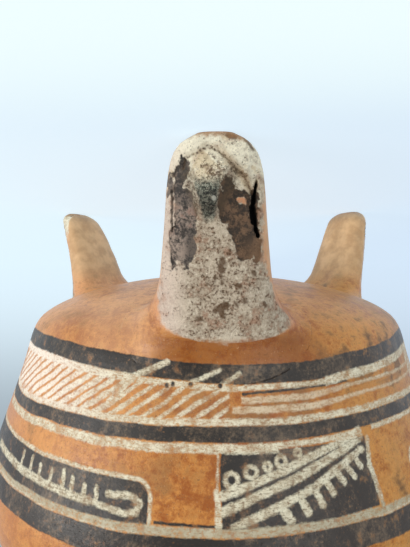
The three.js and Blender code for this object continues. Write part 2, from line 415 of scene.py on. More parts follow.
def hand_made(points):
    """The pot as a hand built it: slightly out of round, and fuller on one side."""
    x, y, z = points.T
    turn = np.arctan2(x, -y)
    swell = 0.35 * np.sin(2 * turn + 0.7) + 0.25 * np.sin(3 * turn + z / 30)
    swell = (swell + 0.15 * np.sin(5 * turn - z / 17)) * ramp(z, 25, 70)
    radius = np.maximum(np.hypot(x, y), 1)
    limit = np.minimum(swell, 0.2 + (BELLY_RADIUS - radius) * 0.5)
    return np.stack([x * (1 + limit / radius), y * (1 + limit / radius), z], axis=1)


def smooth_mesh(name, points, faces):
    mesh = bpy.data.meshes.new(name)
    mesh.from_pydata(points, [], faces)
    mesh.polygons.foreach_set("use_smooth", [True] * len(faces))
    return mesh


def new_object(name, data):
    thing = bpy.data.objects.new(name, data)
    bpy.context.scene.collection.objects.link(thing)
    return thing


def build_vase():
    """The vase's object, how many of its faces are the turned pot's, and its inside points."""
    points, faces, inside = pot_mesh()
    all_points, all_faces = [points], list(faces)
    marks = {"inside": [inside]}
    plain = dict.fromkeys(("slits", "flakes", "left_flakes", "orange", "stains", "hood"), NO_MARK)
    plain.update(snout=0.0, flank=0.0, front=0.0)
    for name, value in plain.items():
        marks[name] = [np.full(len(points), value)]
    for turn, stand_out in FEET:
        foot_points, foot_faces, foot_marks = foot_mesh(stand_out)
        start = sum(len(p) for p in all_points)
        all_points.append(turned_about_axis(foot_points, turn))
        all_faces += [tuple(start + v for v in face) for face in foot_faces]
        marks["inside"].append(np.zeros(len(foot_points)))
        for name in plain:
            marks[name].append(foot_marks[name])
    points = hand_made(np.vstack(all_points))
    mesh = smooth_mesh("vase_pottery", (points * MM).tolist(), all_faces)
    for name, values in marks.items():
        mesh.attributes.new(name, "FLOAT", "POINT").data.foreach_set("value", np.concatenate(values))
    mesh.update()
    return new_object("vase_pottery", mesh), len(faces), np.concatenate(marks["inside"])


# Materials


class Value:
    """A number, vector or colour over the surface; arithmetic on numbers adds Math nodes."""

    def __init__(self, tree, socket):
        self.tree = tree
        self.socket = socket

    def math(self, operation, *others):
        return self.tree.make("ShaderNodeMath", (self, *others), operation=operation)

    def __add__(self, other):
        return self.math("ADD", other)

    __radd__ = __add__

    def __sub__(self, other):
        return self.math("SUBTRACT", other)

    def __rsub__(self, other):
        return self.tree.make("ShaderNodeMath", (other, self), operation="SUBTRACT")

    def __mul__(self, other):
        return self.math("MULTIPLY", other)

    __rmul__ = __mul__

    def __truediv__(self, other):
        return self.math("DIVIDE", other)

    def __abs__(self):
        return self.math("ABSOLUTE")

    def least(self, *others):
        result = self
        for other in others:
            result = result.math("MINIMUM", other)
        return result

    def most(self, *others):
        result = self
        for other in others:
            result = result.math("MAXIMUM", other)
        return result

    def swing(self, amount):
        """A noise's swing about its middle, times an amount."""
        return (self - 0.5) * amount

    def wrap(self, high, low):
        return self.math("WRAP", high, low)

    def step(self, low, high):
        """A smooth step from 0 at low to 1 at high; low may be the larger."""
        inputs = (self, low, high, 0.0, 1.0)
        return self.tree.make("ShaderNodeMapRange", inputs, interpolation_type="SMOOTHSTEP")

    def between(self, start, full, ending, gone):
        """1 from full to ending, and smoothly down to 0 at start and at gone."""
        return self.step(start, full) * self.step(gone, ending)

    def curve(self, points):
        """A smooth curve through (value, result) points, level beyond its ends."""
        xs, ys = zip(*points)
        low, high = min(ys), max(ys)
        share = self.tree.make("ShaderNodeMapRange", (self, xs[0], xs[-1], 0.0, 1.0))
        node = self.tree.nodes.new("ShaderNodeFloatCurve")
        line = node.mapping.curves[0]
        while len(line.points) < len(points):
            line.points.new(0.5, 0.5)
        for point, (x, y) in zip(line.points, points):
            point.location = ((x - xs[0]) / (xs[-1] - xs[0]), (y - low) / (high - low))
        node.mapping.update()
        self.tree.feed(node.inputs["Value"], share)
        return Value(self.tree, node.outputs[0]) * (high - low) + low


class Tree:
    """A node tree in the making."""

    def __init__(self, node_tree):
        self.nodes = node_tree.nodes
        self.links = node_tree.links

    def feed(self, socket, value):
        if isinstance(value, Value):
            self.links.new(value.socket, socket)
        else:
            socket.default_value = value

    def fill(self, node, inputs):
        for name, value in inputs.items():
            self.feed(node.inputs[name], value)

    def make(self, kind, inputs, output=0, **settings):
        node = self.nodes.new(kind)
        for name, setting in settings.items():
            setattr(node, name, setting)
        for socket, value in zip(node.inputs, inputs):
            self.feed(socket, value)
        return Value(self, node.outputs[output])

    def vector_math(self, operation, *inputs, output=0):
        return self.make("ShaderNodeVectorMath", inputs, output, operation=operation)

    def split(self, vector):
        node = self.nodes.new("ShaderNodeSeparateXYZ")
        self.feed(node.inputs[0], vector)
        return [Value(self, socket) for socket in node.outputs]

    def noise(self, vector, scale, detail, roughness, output=0):
        node = self.nodes.new("ShaderNodeTexNoise")
        size = {"Scale": scale, "Detail": detail, "Roughness": roughness}
        self.fill(node, {"Vector": vector, **size})
        return Value(self, node.outputs[output])

    def mix(self, share, first, second):
        """A colour with a share of a second over it, each a Value or three screen values."""
        node = self.nodes.new("ShaderNodeMix")
        node.data_type = "RGBA"
        self.feed(node.inputs[0], share)
        for socket, color in ((6, first), (7, second)):
            self.feed(node.inputs[socket], paint(*color) if isinstance(color, tuple) else color)
        return Value(self, node.outputs[2])

    def coats(self, color, *covers):
        """A colour under coats of (cover, colour), laid one after the other."""
        for cover, coat in covers:
            color = self.mix(cover, color, coat)
        return color

    def group(self, node_tree, **inputs):
        """A placed node group; its outputs by name."""
        node = self.nodes.new("ShaderNodeGroup")
        node.node_tree = node_tree
        self.fill(node, inputs)
        return {socket.name: Value(self, socket) for socket in node.outputs}

    def attribute(self, name):
        node = self.nodes.new("ShaderNodeAttribute")
        node.attribute_name = name
        return Value(self, node.outputs["Fac"])


def hypotenuse(x, y):
    return (x * x + y * y).math("SQRT")


def paint(red, green, blue):
    """A colour given as screen values from 0 to 255."""
    parts = [v / 255 for v in (red, green, blue)]
    return (*[v / 12.92 if v <= 0.04045 else ((v + 0.055) / 1.055) ** 2.4 for v in parts], 1)


def new_group(name, inputs, outputs):
    """A shader node group, its tree, and its inputs by name."""
    node_tree = bpy.data.node_groups.new(name, "ShaderNodeTree")
    for in_out, sockets in (("INPUT", inputs), ("OUTPUT", outputs)):
        for socket_name, kind in sockets.items():
            node_tree.interface.new_socket(socket_name, in_out=in_out, socket_type=kind)
    tree = Tree(node_tree)
    entry = tree.nodes.new("NodeGroupInput")
    given = {socket.name: Value(tree, socket) for socket in entry.outputs if socket.name}
    return node_tree, tree, given


def give(tree, **results):
    tree.fill(tree.nodes.new("NodeGroupOutput"), results)


FLOAT = "NodeSocketFloat"
VECTOR = "NodeSocketVector"
COLOR = "NodeSocketColor"


def pot_place_group():
    """Where a point is on the pot: turn in degrees, height, and its place on the nearest foot."""
    node_tree, tree, given = new_group(
        "pot_place",
        {"Place": VECTOR},
        {"Millimetres": VECTOR, "Turn": FLOAT, "Height": FLOAT, "Across": FLOAT, "Reach": FLOAT},
    )
    millimetres = tree.vector_math("MULTIPLY", given["Place"], (1000, 1000, 1000))
    x, y, z = tree.split(millimetres)
    turn = (x * -1).math("ARCTAN2", y * -1) * (180 / math.pi)
    radius = hypotenuse(x, y)
    foot_turn = turn.wrap(60, -60) * (math.pi / 180)
    give(
        tree,
        Millimetres=millimetres,
        Turn=turn,
        Height=z,
        Across=radius * foot_turn.math("SINE"),
        Reach=radius * foot_turn.math("COSINE"),
    )
    return node_tree


def stroke_group():
    """Distance from a point to a brush stroke's edge, below 0 within the stroke."""
    node_tree, tree, given = new_group(
        "stroke",
        {"Point": VECTOR, "Start": VECTOR, "End": VECTOR, "Half": FLOAT},
        {"Distance": FLOAT},
    )
    from_start = tree.vector_math("SUBTRACT", given["Point"], given["Start"])
    along = tree.vector_math("SUBTRACT", given["End"], given["Start"])
    dot = tree.vector_math("DOT_PRODUCT", from_start, along, output=1)
    whole = tree.vector_math("DOT_PRODUCT", along, along, output=1)
    share = (dot / whole).most(0.0).least(1.0)
    reached = tree.vector_math("SCALE", along)
    tree.feed(reached.socket.node.inputs["Scale"], share)
    away = tree.vector_math("SUBTRACT", from_start, reached)
    give(tree, Distance=tree.vector_math("LENGTH", away, output=1) - given["Half"])
    return node_tree


def burnished_ground_group():
    """Burnished orange slip over brown clay: mottled, streaked along the turn and pitted.

    Painted shade darkens the -x side and the wall under each foot; painted sheen and highlights
    lighten the +x side and the underside.
    """
    node_tree, tree, given = new_group(
        "burnished_ground",
        {"Millimetres": VECTOR, "Height": FLOAT, "Across": FLOAT},
        {"Color": COLOR, "Roughness": FLOAT, "Relief": FLOAT},
    )
    place, height, across = given["Millimetres"], given["Height"], given["Across"]
    x = tree.split(place)[0]
    clouds = tree.noise(place, 0.03, 3, 0.55)
    mottle = tree.noise(place, 0.22, 4, 0.65)
    grain = tree.noise(place, 1.7, 3, 0.6)
    along = tree.vector_math("MULTIPLY", place, (0.25, 0.25, 2.2))
    streaks = tree.noise(along, 0.45, 2, 0.5)
    smudges = tree.noise(place, 0.6, 5, 0.72)
    tone = clouds.swing(1.7) + mottle.swing(1.6) + smudges.swing(1.6)
    tone = tone + streaks.swing(0.45) + grain.swing(0.9) + 0.5
    # Painted shade: an olive tint over the -x side, the side away from the light
    shaded_side_olive = x.step(10, -80) * 0.45 * mottle.step(0.25, 0.6)
    # Painted sheen: paler peach over the +x side, where the burnish catches the light
    sheen_plus_x = x.step(15, 80) * 0.55
    # Painted highlight: the underside lighter, as if lit from below
    underside_highlight = height.step(50, 38) * x.step(-60, 30) * 0.4
    # Dark smoke clouds in the clay, laid thicker on the -x side as painted shade
    smoke = tree.noise(place, 0.055, 3, 0.6) + streaks.swing(0.25) + mottle.swing(0.35)
    smoke_and_side_shade = smoke.step(0.54, 0.74) * (x.step(30, -60) * 0.45 + 0.3)
    # Painted shade: the real smudges made denser and darker low on the -x side
    minus_x_shade = x.step(10, -65) * height.between(36, 46, 56, 66)
    smudged = (mottle + smudges.swing(0.5) + minus_x_shade * 0.07).step(0.53, 0.74)
    # Painted shade: deeper orange on the wall just under each foot
    shade_under_foot = height.between(45, 49, 53, 60) * across.between(-21, -12, 20, 34)
    glare = height.between(36, 43, 51, 58) * across.between(-44, -30, -21, -14)
    pits = grain.step(0.6, 0.7) * (0.3 + 0.5 * mottle)
    color = tree.coats(
        tree.mix(tone.step(0.05, 0.95), (148, 76, 12), (206, 136, 62)),
        (shaded_side_olive, (192, 148, 86)),
        (sheen_plus_x, (226, 156, 100)),
        (underside_highlight * tone.step(-0.1, 0.9), (238, 172, 122)),
        (smoke_and_side_shade, (92, 62, 36)),
        (smudged * (0.34 + minus_x_shade * 0.35), (96, 62, 32)),
        (shade_under_foot * 0.7, (128, 64, 8)),
        (glare * 0.3, (240, 186, 142)),
        (pits, (96, 62, 36)),
        (grain.step(0.38, 0.28) * 0.3, (226, 180, 126)),
    )
    roughness = 0.4 + mottle.swing(0.3) + pits * 0.25
    relief = mottle.swing(0.07) + smudges.swing(0.06) + streaks.swing(0.03)
    relief = relief - pits * 0.05
    give(tree, Color=color, Roughness=roughness, Relief=relief)
    return node_tree


POT_PLACE = pot_place_group()
STROKE = stroke_group()
GROUND = burnished_ground_group()

# Millimetres along the wall for a degree of turn
DEGREE = 1.42

# How far each set of bands rises or sinks round a third of the pot: (degrees, millimetres)
LOW_BANDS_RISE = (
    (-62, -3.7), (-44, -3.5), (-29, -2.4), (-20, -1.7), (-9, -0.7), (4, 0), (20, -0.1), (28, -1.1),
    (44, -2.2), (58, -3.7),
)
MIDDLE_BANDS_RISE = (
    (-62, 1), (-47, 1.3), (-37, 0.6), (-28, 0.6), (-14, 0.4), (1, 0), (12, 0), (24, -0.2),
    (40, -0.1), (58, 1),
)
HIGH_BANDS_RISE = (
    (-62, 1.1), (-53, 1.2), (-37, 0.7), (-16, 0.5), (-6, 0), (14, 0), (25, 0.2), (35, 0.9),
    (58, 1.1),
)

# Low and high edges of the dark bands round the pot
LOW_BAND = (54.4, 59)
MIDDLE_BAND = (68.6, 71.9)
HIGH_BAND = (91.1, 96.6)
NECK_BAND = (146, 153)
RIM_BAND = (182, 196)

# The dark panel: its sides in degrees, and its heights
PANEL_TURNS = (0.9, 29.6)
PANEL_HEIGHTS = (73.8, 89.3)

# The dark tongue: the lower half of an oblong with round corners
TONGUE_TURN = -44.6
TONGUE_HALF_TURN = 34.4
TONGUE_HEIGHT = 90.0
TONGUE_HALF_HEIGHT = 10.0
TONGUE_CORNER = 4.6
TONGUE_LINE_TOP = 89.6

# Cream lines: the set of bands they follow, low and high edge, and first and last degree;
# END lies past the wall's last degree
LOW, MIDDLE, HIGH = range(3)
END = 99
CREAM_LINES = (
    (LOW, 59.2, 60.7, -16, 4), (LOW, 58.8, 61.1, 22.5, END), (LOW, 59.2, 60.5, 4, 23.5),
    (LOW, 58.9, 61, -END, -15), (MIDDLE, 66.9, 68.5, -END, END), (HIGH, 89.1, 91, -END, END),
    (MIDDLE, 72.2, 74.3, -END, 11), (MIDDLE, 72.2, 73.6, 9, 28), (MIDDLE, 71.9, 73.1, 32, END),
)
NECK_LINES = ((144.6, 145.7), (153.3, 154.4))

# The hatching: degrees it leans by for each millimetre, half its pitch, and its last degree
HATCH_SLANT = 1.17
HATCH_HALF_PITCH = 1.65
HATCH_END = 2.4

# Stripes that narrow to the right: height, fall to the right, and first degree
STRIPES = ((62.7, 1.7, 4.6), (65, 1.3, 3))

# Brush strokes in cream on the wall: start, end (degrees, millimetres up) and half width
CROSSING_STROKES = (
    (-9.6, 54.2, -16.2, 57.8, 0.85), (-16.2, 57.8, -21.5, 65, 0.9), (0.8, 55.7, -5.4, 59.4, 0.55),
    (4.6, 56.4, 0.8, 59.6, 0.55),
)
PANEL_BARS = (
    (1, 82.9, 16, 76.3, 0.95), (16, 76.3, 28.5, 72.4, 0.95), (1, 85.8, 16, 79, 1),
    (16, 79, 28.6, 73.7, 1), (2.8, 88.9, 16, 82.7, 0.95), (16, 82.7, 27, 76.9, 0.9),
)
LEAVES = (
    (10.9, 86.4, 12, 88.6, 1.05), (14.1, 84.8, 15, 87.2, 0.9), (17, 83.6, 17.8, 86, 0.9),
    (19.3, 82, 20.2, 84.1, 0.85), (21.6, 80.4, 22.6, 82.4, 0.85), (24, 79.6, 25.1, 81.8, 0.85),
    (26.3, 77.8, 27, 80, 0.8), (27.6, 76.4, 28.3, 76.7, 0.85),
)
COMB_TEETH = (
    (-42.5, 82.6, -42.3, 85.4, 0.7), (-38.6, 82.5, -38.4, 85.2, 0.7),
    (-35.5, 83.4, -35.3, 85.6, 0.6), (-32, 83.4, -31.8, 85.8, 0.6), (-28.8, 82.6, -28.4, 86, 0.7),
    (-26.3, 83.4, -26.1, 86.4, 0.7), (-23.3, 84.2, -23.2, 86.8, 0.65), (-20.8, 84, -20.7, 87, 0.65),
)
COMB_BAR = ((-58, 86.4, -35, 86.7, 1), (-35, 86.7, -22, 87.1, 0.9), (-22, 87, -14.6, 87.9, 0.7))
HOOK = (
    (-18.3, 84.7, -14.2, 84.2, 0.75), (-14.2, 84.2, -12.4, 85.4, 0.75),
    (-12.4, 85.4, -13, 87.4, 0.75), (-13, 87.4, -14.6, 87.9, 0.7),
)
PANEL_BORDERS = (
    (0.5, 74.6, 0.3, 81.8, 0.3), (0.1, 82.2, 0.5, 89.6, 0.75), (30.2, 74.6, 29.1, 80.5, 0.75),
    (29.1, 80.5, 30.3, 89.4, 0.8),
)
# Cream rings: middle and radius
PANEL_RINGS = (
    ((2.7, 79.7), 1.45), ((5.9, 78.2), 1.25), ((11.2, 76.2), 1.1), ((14.5, 74.9), 0.75),
    ((8.7, 77.1), 0.8),
)
# Dots and thin lines in dark paint
DARK_DOTS = ((-9.5, 59.8), (-8.2, 59.5), (-4.7, 59.4), (0.9, 59.4))
THIN_DARK_LINES = ((5, 61.2, 28, 60.2, 0.3), (-9.6, 88.7, 0, 88.7, 0.28))


def band(height, low, high):
    """Distance to a band between two heights, below 0 within it."""
    return abs(height - (low + high) / 2) - (high - low) / 2


def wall_strokes(tree, point, strokes, distance):
    """The least of a distance so far and the distances to brush strokes on the wall."""
    for start_turn, start_height, end_turn, end_height, half in strokes:
        start = (start_turn * DEGREE, start_height, 0)
        end = (end_turn * DEGREE, end_height, 0)
        stroke = tree.group(STROKE, Point=point, Start=start, End=end, Half=half)
        distance = distance.least(stroke["Distance"])
    return distance


def finish_material(tree, color, roughness, relief, specular=0.38):
    """Join colour, roughness and relief in millimetres to the material's shader."""
    bump = tree.nodes.new("ShaderNodeBump")
    tree.fill(bump, {"Strength": 1.0, "Distance": MM, "Height": relief})
    shader = tree.nodes["Principled BSDF"]
    tree.fill(shader, {"Normal": Value(tree, bump.outputs[0]), "Specular IOR Level": specular})
    tree.fill(shader, {"Base Color": color, "Roughness": roughness})


def new_material(name):
    """A material, its tree, and the place on its object."""
    material = bpy.data.materials.new(name)
    material.use_nodes = True
    tree = Tree(material.node_tree)
    coordinates = tree.nodes.new("ShaderNodeTexCoord")
    return material, tree, Value(tree, coordinates.outputs["Object"])


def pottery(name):
    """A material, its tree, where a point is on the pot, and the burnished ground there."""
    material, tree, place = new_material(name)
    where = tree.group(POT_PLACE, Place=place)
    ground = tree.group(
        GROUND, Millimetres=where["Millimetres"], Height=where["Height"], Across=where["Across"]
    )
    return material, tree, where, ground


def painted_wall():
    """Bands and panels in dark and cream paint round the wall, over the burnished ground."""
    material, tree, where, ground = pottery("painted_wall")
    place = where["Millimetres"]
    wander = tree.split(tree.noise(place, 0.11, 2, 0.5, output=1))
    ragged = tree.noise(place, 0.85, 4, 0.62) - 0.5
    turn = (where["Turn"] + 2).wrap(60, -60) - 2
    t = turn + wander[0].swing(1.1)
    h = where["Height"] + wander[1].swing(0.9)
    rises = (LOW_BANDS_RISE, MIDDLE_BANDS_RISE, HIGH_BANDS_RISE)
    followed = [h - turn.curve(rise) for rise in rises]
    low_h, middle_h, high_h = followed
    point = tree.make("ShaderNodeCombineXYZ", (t * DEGREE, h, 0.0))

    tongue_turn = abs((t - TONGUE_TURN).wrap(60, -60)) * DEGREE
    past_end = tongue_turn - (TONGUE_HALF_TURN * DEGREE - TONGUE_CORNER)
    past_top = abs(h - TONGUE_HEIGHT) - (TONGUE_HALF_HEIGHT - TONGUE_CORNER)
    beyond = hypotenuse(past_end.most(0.0), past_top.most(0.0))
    tongue = beyond + past_end.most(past_top).least(0.0) - TONGUE_CORNER

    dark = band(low_h, *LOW_BAND).least(band(middle_h, *MIDDLE_BAND), band(high_h, *HIGH_BAND))
    dark = dark.least((band(t, *PANEL_TURNS) * DEGREE).most(band(h, *PANEL_HEIGHTS)))
    dark = dark.least((tongue + 1.0).most(high_h - 89.2), band(h, *NECK_BAND), band(h, *RIM_BAND))
    dark = wall_strokes(tree, point, THIN_DARK_LINES, dark)

    cream = (abs(tongue + 0.5) - 0.5).most(h - TONGUE_LINE_TOP)
    for follows, low, high, first, last in CREAM_LINES:
        line = band(followed[follows], low, high)
        cream = cream.least(line.most(band(t, first, last) * DEGREE))
    leaning = t + (h - 62) * HATCH_SLANT + 1.3 + wander[2].swing(2.2)
    leaning = leaning.wrap(HATCH_HALF_PITCH, -HATCH_HALF_PITCH)
    hatch = (abs(leaning) - 0.68 - t.step(-12, -26) * 0.46) * 0.8
    cream = cream.least(hatch.most(59.6 - low_h, middle_h - 67.2, (t - HATCH_END) * DEGREE))
    narrowing = t.step(16, 34)
    for middle, fall, first in STRIPES:
        stripe = abs(h - middle + narrowing * fall) - 0.82 + narrowing * 0.4
        cream = cream.least(stripe.most((first - t) * DEGREE))
    strokes = CROSSING_STROKES + PANEL_BARS + LEAVES + COMB_TEETH + COMB_BAR + HOOK + PANEL_BORDERS
    cream = wall_strokes(tree, point, strokes, cream)
    for (ring_turn, ring_height), ring_radius in PANEL_RINGS:
        centre = (ring_turn * DEGREE, ring_height, 0)
        away = tree.vector_math("DISTANCE", point, centre, output=1)
        cream = cream.least(abs(away - ring_radius) - 0.55)
    for low, high in NECK_LINES:
        cream = cream.least(band(h, low, high))
    for dot_turn, dot_height in DARK_DOTS:
        centre = (dot_turn * DEGREE, dot_height, 0)
        away = tree.vector_math("DISTANCE", point, centre, output=1)
        cream = cream.most(0.7 - away)
        dark = dark.least(away - 0.6)

    speckle = tree.noise(place, 1.35, 4, 0.7)
    wear = tree.noise(place, 0.33, 4, 0.6)
    dark_cover = (dark + ragged * 0.7).step(0.25, -0.2)
    dark_cover = dark_cover * (1 - wear.step(0.56, 0.74) * 0.4) * (1 - speckle.step(0.6, 0.72) * 0.3)
    scratched = tree.noise(tree.vector_math("MULTIPLY", place, (1, 1, 3.4)), 0.8, 3, 0.7)
    hatched = t.between(-16, -10, 1, 4) * h.between(59, 61, 66, 68)
    striped = t.step(1, 4) * h.between(60.4, 61.2, 65.8, 66.6)
    grimed = h.between(88.2, 89.2, 90.8, 92)
    cream_cover = (cream + ragged * 1.05).step(0.3, -0.35) * (1 - hatched * 0.08 - striped * 0.12)
    cream_cover = cream_cover * (1 - speckle.step(0.53, 0.68) * 0.55)
    cream_cover = cream_cover * (1 - wear.step(0.54, 0.7) * 0.45)
    cream_cover = cream_cover * (1 - scratched.step(0.54, 0.66) * 0.45)
    x = tree.split(place)[0]
    clouds = tree.noise(place, 0.085, 3, 0.6)
    dark_tone = clouds.swing(2.1) + wear.swing(1.6) + speckle.swing(1.6) + 0.16
    # Dark paint; the grey coat towards both sides of the wall is a painted reflection
    dark_color = tree.coats(
        tree.mix(dark_tone.step(0, 1), (36, 27, 20), (114, 93, 72)),
        (x.step(20, 75) * 0.15 + x.step(-10, -60) * 0.28, (120, 108, 100)),
    )
    cream_tone = wear.swing(1.7) + scratched.swing(1.3) + speckle.swing(1.0) + 0.5
    # Cream paint; the whiter coat low on the +x side is a painted highlight
    cream_color = tree.coats(
        tree.mix(cream_tone.step(0, 1), (228, 216, 188), (172, 148, 116)),
        (x.step(20, 55) * h.step(72, 66) * 0.9, (250, 232, 214)),
        (striped * 0.45, (210, 172, 134)),
        (grimed * 0.55, (138, 128, 102)),
    )
    soot = tree.noise(place, 2.3, 3, 0.65).step(0.6, 0.72) * 0.55
    color = tree.coats(
        ground["Color"],
        (hatched * 0.3, (138, 96, 64)),
        (dark_cover, dark_color),
        (cream_cover * 0.94, cream_color),
        (soot, (70, 54, 42)),
    )
    roughness = ground["Roughness"] + dark_cover * 0.04 + cream_cover * 0.18
    relief = ground["Relief"] + dark_cover * 0.015 + cream_cover * 0.07
    relief = relief + speckle.swing(0.06) - soot * 0.03
    finish_material(tree, color, roughness, relief)
    return material


# The edge of the pale slip on a foot's front, as (height, across) on each side
SLIP_LEFT = (
    (0, -9), (5, -11.5), (12, -12.8), (24, -13.3), (32, -14), (38, -14.8), (43, -14), (46, -11.2),
    (48, -6), (49, 2),
)
SLIP_RIGHT = (
    (0, 9), (8, 11.8), (13, 11.5), (24, 11.6), (30, 12.4), (36, 14.6), (40, 16.6), (44.5, 20),
    (46.5, 17.5), (48, 12), (49, 2),
)


def foot_slip():
    """Pale slip on a foot's front, flaked off to dark clay, over the burnished ground."""
    material, tree, where, ground = pottery("foot_slip")
    place = where["Millimetres"]
    c, h = where["Across"], where["Height"]
    front, snout, flank, hood, slits = [
        tree.attribute(name) for name in ("front", "snout", "flank", "hood", "slits")
    ]
    flakes, left_flakes = tree.attribute("flakes"), tree.attribute("left_flakes")
    ragged = tree.noise(place, 0.8, 4, 0.65) - 0.5
    clouds = tree.noise(place, 0.14, 3, 0.6)
    blotches = tree.noise(place, 0.45, 4, 0.65)
    speckle = tree.noise(place, 1.5, 4, 0.7)
    fine = tree.noise(place, 3.4, 2, 0.6)

    beyond_left = h.curve(SLIP_LEFT) - c
    beyond_right = c - h.curve(SLIP_RIGHT)
    slip = beyond_left.most(beyond_right, h - 48.2)
    soft = h.step(40, 47) * 0.7 + 0.6
    slip_edge = (slip + ragged * 2.6 + clouds.swing(2.0)) / soft
    slip_cover = slip_edge.step(1.0, -1.0) * front.step(0.3, 0.6)
    halo = (slip + ragged * 2.5).step(3.2, -0.5) * front.step(0.3, 0.6)

    # The clay round the slip: tan, with painted shade on the foot's back, and dirty at the toe
    tan = tree.mix(clouds.step(0.3, 0.7), (222, 184, 138), (192, 152, 106))
    # Painted shade: the back of the foot, towards the pot, darker and greyer
    behind = (where["Reach"] + h * 0.4 - 76.0).step(6.0, 2.5) * h.step(38, 29)
    color = tree.coats(
        ground["Color"],
        (h.step(40, 26) * 0.8, tan),
        (behind * (0.1 + clouds.step(0.35, 0.65) * 0.16), (140, 118, 92)),
        (front.step(0.5, 0.1) * (h + ragged * 4).step(7, 1) * 0.45, (122, 104, 86)),
        (halo * 0.45 * h.step(48.5, 44), (222, 160, 122)),
    )

    # The slip: paler cream at the toe, partly a painted highlight; rosy at the left, stained, and
    # crusted on the snout
    tone = clouds.swing(1.6) + blotches.swing(1.3) + speckle.swing(1.7) + 0.5
    under_hood = (hood + ragged * 2.4).step(1.9, 0.2) * c.step(-1, 3) * 0.55
    ochre = (clouds - blotches * 0.9 + 0.5).step(0.56, 0.7) * h.step(15, 7) * 0.55
    grit = tree.noise(place, 1.0, 3, 0.75)
    crust = (grit + blotches.swing(0.5)).step(0.46, 0.6) * h.step(15, 12)
    crusted = snout.step(0.4, 1.8) * 0.7 + h.step(9, 3) * 0.2 + c.step(1, 5) * h.step(14, 11) * 0.2
    slip_color = tree.coats(
        tree.mix(tone.step(0.0, 1.0), (208, 191, 167), (136, 114, 92)),
        ((h + blotches.swing(14)).step(18, 5) * 0.9, (255, 243, 214)),
        (c.step(-5, -13) * 0.65, (234, 208, 190)),
        ((clouds + blotches.swing(0.9)).step(0.54, 0.7) * 0.38, (186, 136, 108)),
        (under_hood, (160, 122, 74)),
        (ochre, (196, 166, 118)),
        (crust * crusted.least(0.85), (132, 108, 78)),
    )

    middle = abs(c - 1.0).step(12, 2) * 0.05 + h.step(24, 30) * 0.02 - h.step(38, 46) * 0.03
    encrusted = h.step(7, 4) * -0.02 + snout.step(0.6, 2.2) * 0.08
    specks = (speckle + middle + encrusted + blotches.swing(0.4)).step(0.61, 0.69) * slip_cover
    fine_specks = fine.step(0.6, 0.74) * slip_cover * (0.45 + h.step(4, 9) * 0.55)
    pale_specks = (speckle + fine.swing(0.3)).step(0.42, 0.26) * slip_cover
    stains = (tree.attribute("stains") + ragged * 0.8).step(0.35, -0.3) * slip_cover
    color = tree.coats(
        color,
        (slip_cover * 0.96, slip_color),
        (specks * 0.8, (84, 58, 34)),
        (fine_specks * 0.4, (96, 72, 50)),
        (pale_specks * 0.5, (240, 228, 206)),
        (stains * 0.85, (88, 60, 34)),
    )

    # Where the slip has flaked off: greyer clay at the left, browner at the right
    flaked = (flakes + ragged * 1.2).step(0.2, -0.15)
    left = (left_flakes + ragged).step(0.6, -0.2)
    flake_tone = clouds.swing(2.0) + blotches.swing(2.2) + speckle.swing(2.6) + 0.45
    rosy = (blotches + clouds.swing(0.6)).step(0.52, 0.62) * h.between(15, 17, 21, 23) * 0.55
    left_color = tree.coats(
        tree.mix(flake_tone.step(0.05, 0.95), (47, 41, 39), (166, 145, 129)),
        (rosy, (150, 112, 96)),
        (h.step(20, 22) * c.step(-8.4, -6) * 0.65, (46, 43, 42)),
        (h.step(16.5, 15) * 0.45, (50, 46, 46)),
    )
    right_color = tree.coats(
        tree.mix(flake_tone.step(0.05, 1.1), (42, 31, 24), (124, 94, 70)),
        (h.step(21, 27) * c.step(5, 9) * 0.5, (136, 100, 70)),
    )
    orange = (tree.attribute("orange") + ragged * 1.4).step(0.2, -0.3)

    # The snout's dark muzzle, with one bare spot: its own dark colour, with painted shade in it
    muzzle_edge = abs(c + 1.95 - (h - 11) * 0.06) - 3.0 + (h - 11) * 0.22
    muzzle = (muzzle_edge + ragged * 1.6).step(0.4, -0.4) * (h + ragged * 4).step(9.6, 12.0)
    muzzle = muzzle * (h + ragged * 3).step(20.5, 18.0) * front.step(0.3, 0.6)
    muzzle_tone = (grit + fine.swing(0.8) + blotches.swing(0.5)).step(0.46, 0.6)
    deepest_color = tree.mix(muzzle_tone, (18, 19, 15), (100, 98, 84))
    bare_spot = (hypotenuse(c + 0.4, h - 14.8) + ragged).step(0.7, 0.35)
    muzzle_color = tree.coats(
        tree.mix(muzzle_tone, (58, 60, 50), (168, 166, 146)),
        ((h + ragged * 3).between(11.8, 13.8, 17.0, 19.0) * 0.85, deepest_color),
        (bare_spot, (196, 190, 172)),
    )

    in_groove = (hood + ragged * 0.9).step(0.55, 0.0) * (0.3 + speckle.step(0.4, 0.6) * 0.6)
    toe_dirt = (h + ragged * 3.5 - c.step(2, 6) * 0.9).step(1.9, 0.1) * 0.8
    # Painted shadow: the slits near black, as the dark hollow seen through them, less so in the
    # clogged left slit
    slit_shade_strength = 0.45 + 0.55 * c.step(-6, 0) + 0.3 * speckle.step(0.5, 0.6)
    slit_shadow = (slits + ragged * 0.6).step(0.26, 0.02) * slit_shade_strength
    color = tree.coats(
        color,
        (flaked * 0.97, tree.mix(left, right_color, left_color)),
        (orange * (0.6 + speckle.step(0.6, 0.45) * 0.35), (208, 138, 92)),
        # painted shade on the snout's sides
        (flank * (0.38 + speckle.step(0.42, 0.6) * 0.52) * slip_cover, (88, 72, 54)),
        (muzzle * (0.75 + speckle.step(0.36, 0.5) * 0.22), muzzle_color),
        (in_groove, (86, 64, 42)),
        (toe_dirt, (158, 108, 64)),
        (slit_shadow.least(1.0), (14, 11, 9)),
    )

